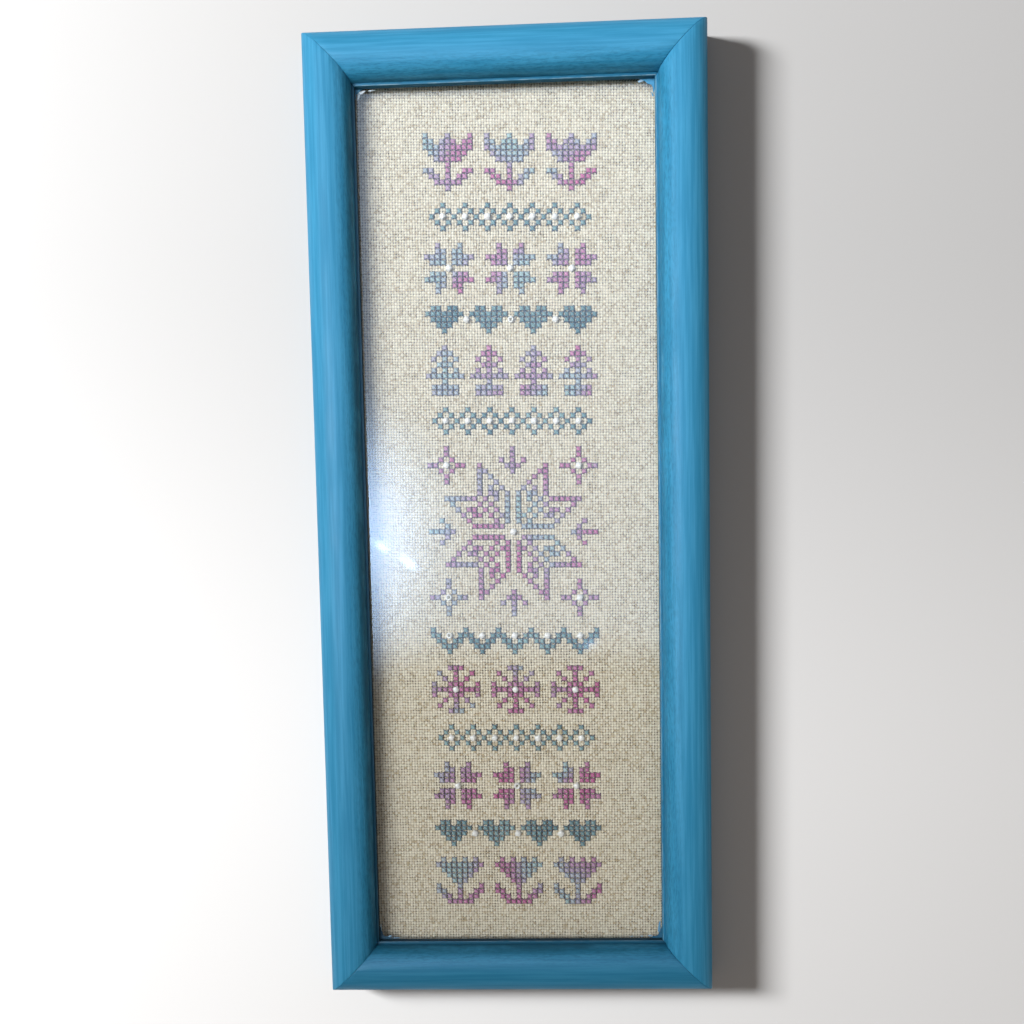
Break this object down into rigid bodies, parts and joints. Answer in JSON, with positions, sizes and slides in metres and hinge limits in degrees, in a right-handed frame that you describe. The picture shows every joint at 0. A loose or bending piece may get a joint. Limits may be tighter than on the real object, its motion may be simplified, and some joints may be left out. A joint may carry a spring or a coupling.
{
  "type": "framed cross stitch sampler",
  "caption": "Tall narrow cross stitch band sampler on even-weave linen, under glass in a domed mitred wooden frame, lying face up.",
  "frame": {"origin": "middle of the frame's back, on the surface that it lies on", "axes": "+X across the frame to the right of the face, +Y along its length to the top of the sampler, +Z out of the face"},
  "size_m": [0.1276, 0.3108, 0.0144],
  "materials": {
    "painted_moulding": "satin",
    "picture_glass": "polished",
    "linen": "matte",
    "stitching_thread": "matte",
    "seed_beads": "polished",
    "backing_card": "matte"
  },
  "bodies": {
    "root": {"rail_top": "painted_moulding", "rail_right": "painted_moulding", "rail_bottom": "painted_moulding", "rail_left": "painted_moulding", "glass_pane": "picture_glass", "stitched_linen": "linen", "backing_card": "backing_card"}
  },
  "joints": []
}
